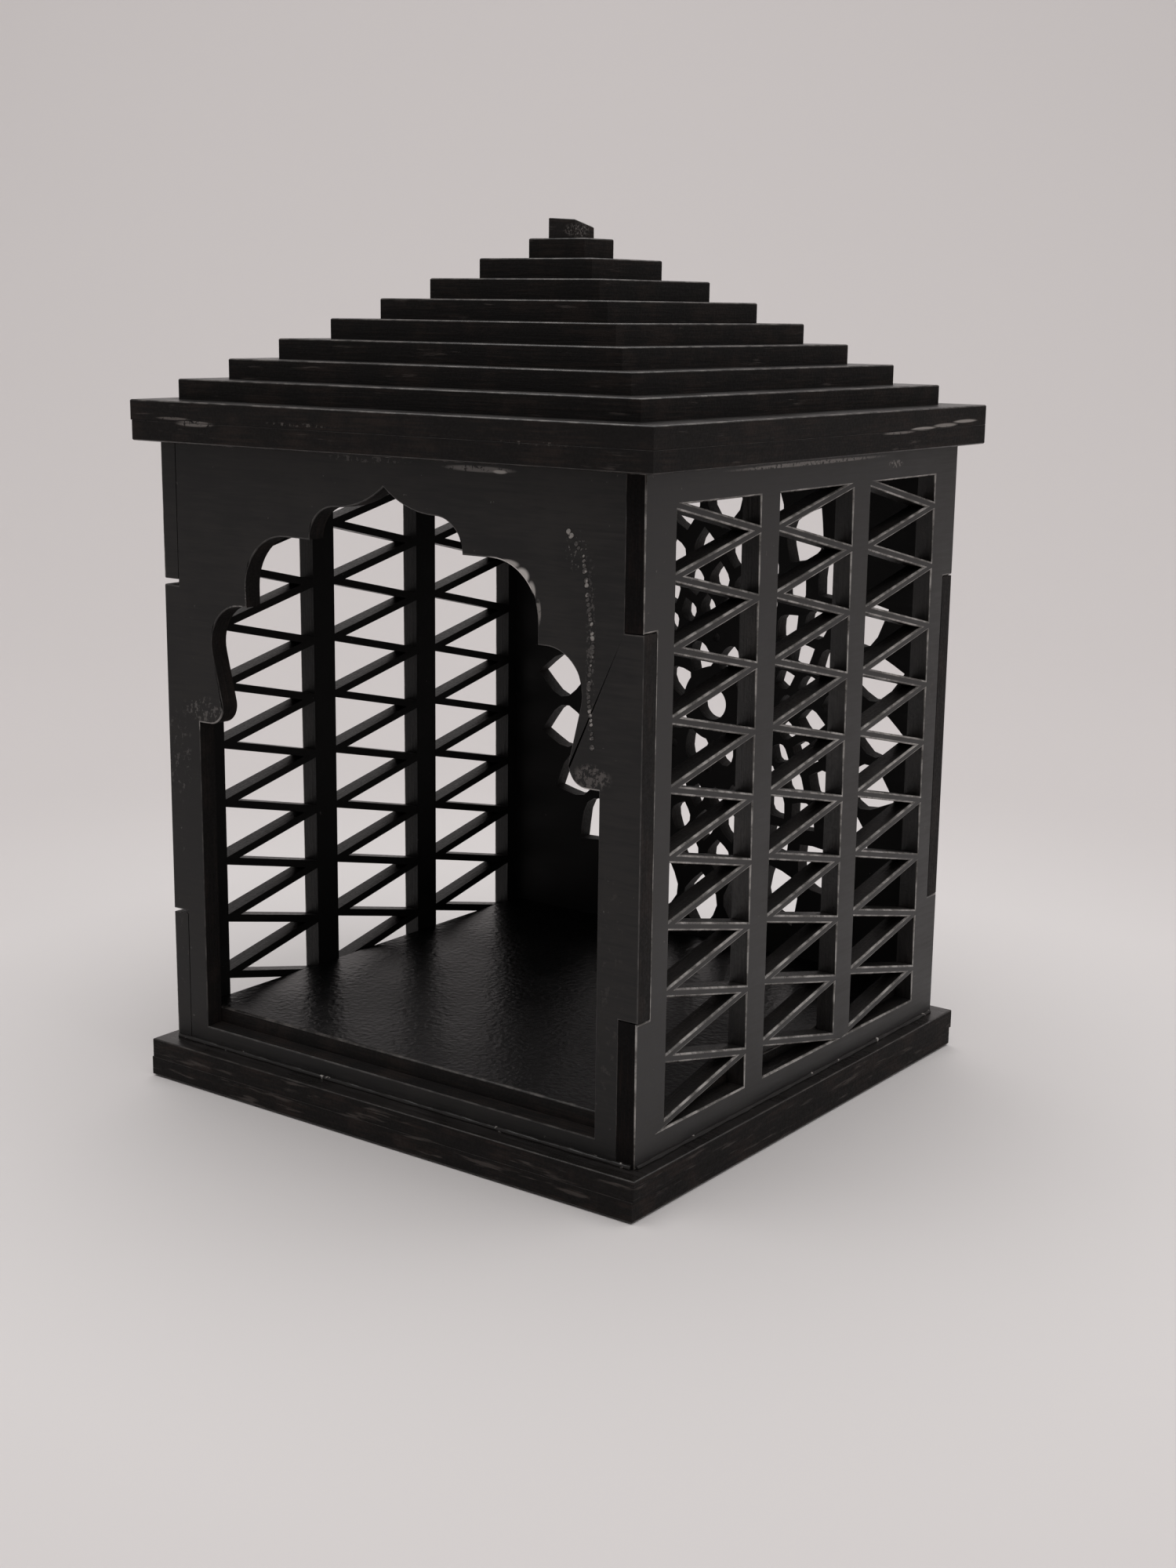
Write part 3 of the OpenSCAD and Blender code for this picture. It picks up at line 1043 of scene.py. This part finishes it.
@dataclass
class Walls:
    """The arched front, the pierced back and the two lattice sides.

    Args:
        shop: the mixed finishes.
        ease_mm: width of the broken corners on the front and back walls.
        bar_ease_mm: width of the broken corners on the lattices.
        bead_mm: half thickness of the glue line under the eave.
    """

    shop: PaintShop
    ease_mm: float = 0.22
    bar_ease_mm: float = 0.27
    bead_mm: float = 0.2

    def build(self) -> None:
        """Build and dress the four walls."""
        shop = self.shop
        for node, paint in (("front_wall", shop.front), ("back_wall", shop.back)):
            Board(node, Axis.DEPTH, paint, shop.edge[Axis.DEPTH], shop.wall_arris, Slot.FACE,
                  self.ease_mm, 0.0, inner=shop.inside, clamp=False).build()
        for node, edge, end in (("left_wall", shop.far_edge, shop.front),
                                ("right_wall", shop.bar_edge, shop.end_grain)):
            Board(node, Axis.ACROSS, shop.side, edge, shop.bar_arris, Slot.SIDE, self.bar_ease_mm,
                  0.0, end=end, inner=shop.inside, clamp=False).build()
        self._crumbs()
        self._eave_glue()

    def _crumbs(self) -> None:
        """Leave the row of crumbs beside the arch on the front face."""
        lo, hi = (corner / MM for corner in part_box("front_wall"))
        bends = ((12.4, 84.8), (9.7, 81.8), (8.9, 78.7), (8.4, 72.5), (8.2, 56.3))
        path = tuple((hi.x - inset, lo.y, lo.z + height) for inset, height in bends)
        PaintCrumbs("front_paint_crumbs", path, 0.6, 0.44, self.shop.crumb, Slot.FACE).build()

    def _eave_glue(self) -> None:
        """Run a thin line of glue where the front and right walls meet the eave."""
        lo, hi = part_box("front_wall")[0] / MM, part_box("right_wall")[1] / MM
        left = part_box("left_wall")[0] / MM
        z = hi.z - self.bead_mm * 0.4
        r = self.bead_mm
        GlueBead("eave_glue_front", Vector((left.x + r, lo.y, z)), Vector((hi.x - r, lo.y, z)), r,
                 self.shop.seam_glue, Slot.ROOF, 0.06, 11.0).build()
        GlueBead("eave_glue_right", Vector((hi.x, lo.y + r, z)), Vector((hi.x, hi.y - r, z)), r,
                 self.shop.seam_glue, Slot.ROOF, 0.06, 23.0).build()


@dataclass
class Roof:
    """The two eave boards, the eight stepped boards and the block on top.

    Args:
        shop: the mixed finishes.
        tiers: number of stepped boards.
    """

    shop: PaintShop
    tiers: int = 8

    def build(self) -> None:
        """Build and dress the roof."""
        names = ["eave_lower_board", "eave_upper_board"]
        names += [f"roof_tier_{k}" for k in range(1, self.tiers + 1)]
        for node in names:
            lowest = node == "eave_lower_board"
            arris = self.shop.base_arris if lowest else self.shop.arris
            Board(node, Axis.UP, self.shop.top, self.shop.roof_edge, arris, Slot.ROOF, 0.2,
                  1.0 if lowest else 0.0, 0.4 if lowest else 1.0).build()
        Board("finial_block", Axis.UP, self.shop.finial, self.shop.finial,
              self.shop.base_arris, Slot.ROOF, 0.15, 0.0).build()


@dataclass
class Studio:
    """Pale paper sweep, soft lights and the camera.

    Args:
        paper: colour of the paper round the temple.
        place_mm: place of the camera.
        yaw: turn of the camera to the left, in degrees.
        pitch: how far it looks down, in degrees.
        roll: how far it leans, in degrees.
        lens: focal length in millimetres on a 36 mm sensor.
        flat_behind: metres of flat paper behind the temple.
        curve_radius: radius in metres of the bend behind that.
        curve_steps: number of steps in the bend.
    """

    paper: str = "#d8d4d3"
    place_mm: tuple[float, float, float] = (197.99, -264.45, 119.04)
    yaw: float = 36.209
    pitch: float = 12.518
    roll: float = 0.735
    lens: float = 49.283
    flat_behind: float = 0.4
    curve_radius: float = 0.7
    curve_steps: int = 16

    def build(self) -> None:
        """Build the paper, the lights and the camera."""
        self._sweep()
        self._lights()
        self._camera()

    def _sweep(self) -> None:
        """Lay paper on the table and bend it up behind the temple in one sweep."""
        bpy.ops.object.select_all(action="DESELECT")
        depth = 2.0 + self.flat_behind
        bpy.ops.mesh.primitive_plane_add(size=1)
        paper = bpy.context.object
        paper.name = "paper_sweep"
        bpy.ops.object.mode_set(mode="EDIT")
        bpy.ops.transform.resize(value=(5.0, depth, 1))
        bpy.ops.transform.translate(value=(0, self.flat_behind - depth / 2, -0.0002))
        bpy.ops.mesh.select_all(action="DESELECT")
        bpy.ops.object.mode_set(mode="OBJECT")
        for edge in paper.data.edges:
            a, b = (paper.data.vertices[i].co.y for i in edge.vertices)
            edge.select = min(a, b) > self.flat_behind - 0.001
        bpy.ops.object.mode_set(mode="EDIT")
        bpy.ops.mesh.select_mode(type="EDGE")
        turn = math.pi / 2 / self.curve_steps
        for step in range(self.curve_steps):
            a, b = step * turn, (step + 1) * turn
            move = (0, self.curve_radius * (math.sin(b) - math.sin(a)),
                    self.curve_radius * (math.cos(a) - math.cos(b)))
            bpy.ops.mesh.extrude_region_move(TRANSFORM_OT_translate={"value": move})
        bpy.ops.mesh.extrude_region_move(TRANSFORM_OT_translate={"value": (0, 0, 2.5)})
        bpy.ops.object.mode_set(mode="OBJECT")
        only(paper)
        paper.rotation_euler = (0, 0, math.radians(self.yaw))
        bpy.ops.object.transform_apply(location=True, rotation=True, scale=True)
        bpy.ops.object.shade_smooth()
        # the darker rim colour is painted shade away from the temple
        paper.data.materials.append(MattPaper("matt paper sweep", self.paper, "#cbc6c5").make())

    def _area(self, name: str, watts: float, size: float, at: tuple[float, float, float]
              ) -> None:
        """Hang one square soft light that looks at the temple.

        Args:
            name: name of the light.
            watts: its power.
            size: its side in metres.
            at: its place in metres.
        """
        data = bpy.data.lights.new(name, "AREA")
        data.shape = "SQUARE"
        data.size = size
        data.energy = watts
        light = bpy.data.objects.new(name, data)
        light.location = at
        aim = Vector((0, 0, 0.05)) - Vector(at)
        light.rotation_euler = aim.to_track_quat("-Z", "Y").to_euler()
        bpy.context.scene.collection.objects.link(light)

    def _lights(self) -> None:
        """Set the room light and the lamps."""
        world = bpy.data.worlds.new("room")
        bpy.context.scene.world = world
        world.use_nodes = True
        tree = world.node_tree
        tree.nodes.clear()
        glow = add(tree, "Background", None, {"Color": linear("#dcd8d7"), "Strength": 0.38})
        add(tree, "OutputWorld", None, {"Surface": glow.outputs[0]})
        self._area("ceiling_panel", 19, 1.7, (0.0, 0.0, 1.3))
        self._area("right_window", 1.5, 0.8, (1.1, 0.1, 0.8))

    def _camera(self) -> None:
        """Place the camera."""
        data = bpy.data.cameras.new("camera")
        data.lens = self.lens
        data.sensor_width = 36
        camera = bpy.data.objects.new("camera", data)
        yaw, pitch, roll = (math.radians(a) for a in (self.yaw, self.pitch, self.roll))
        ahead = Vector((-math.sin(yaw) * math.cos(pitch), math.cos(yaw) * math.cos(pitch),
                        -math.sin(pitch)))
        right = Vector((math.cos(yaw), math.sin(yaw), 0))
        up = right.cross(ahead)
        x = right * math.cos(roll) + up * math.sin(roll)
        y = up * math.cos(roll) - right * math.sin(roll)
        turn = Matrix((x, y, -ahead)).transposed().to_4x4()
        camera.matrix_world = Matrix.Translation(Vector(self.place_mm) * MM) @ turn
        bpy.context.scene.collection.objects.link(camera)
        bpy.context.scene.camera = camera


def main() -> None:
    """Build the temple piece by piece."""
    logging.basicConfig(level=logging.INFO, format="%(name)s: %(message)s")
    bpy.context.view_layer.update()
    scene = bpy.context.scene
    scene.view_settings.view_transform = "Standard"
    Studio().build()
    shop = PaintShop()
    for part in (Plinth(shop), Walls(shop), Roof(shop)):
        part.build()
        log.info("%s done", type(part).__name__)


if __name__ == "__main__":
    main()
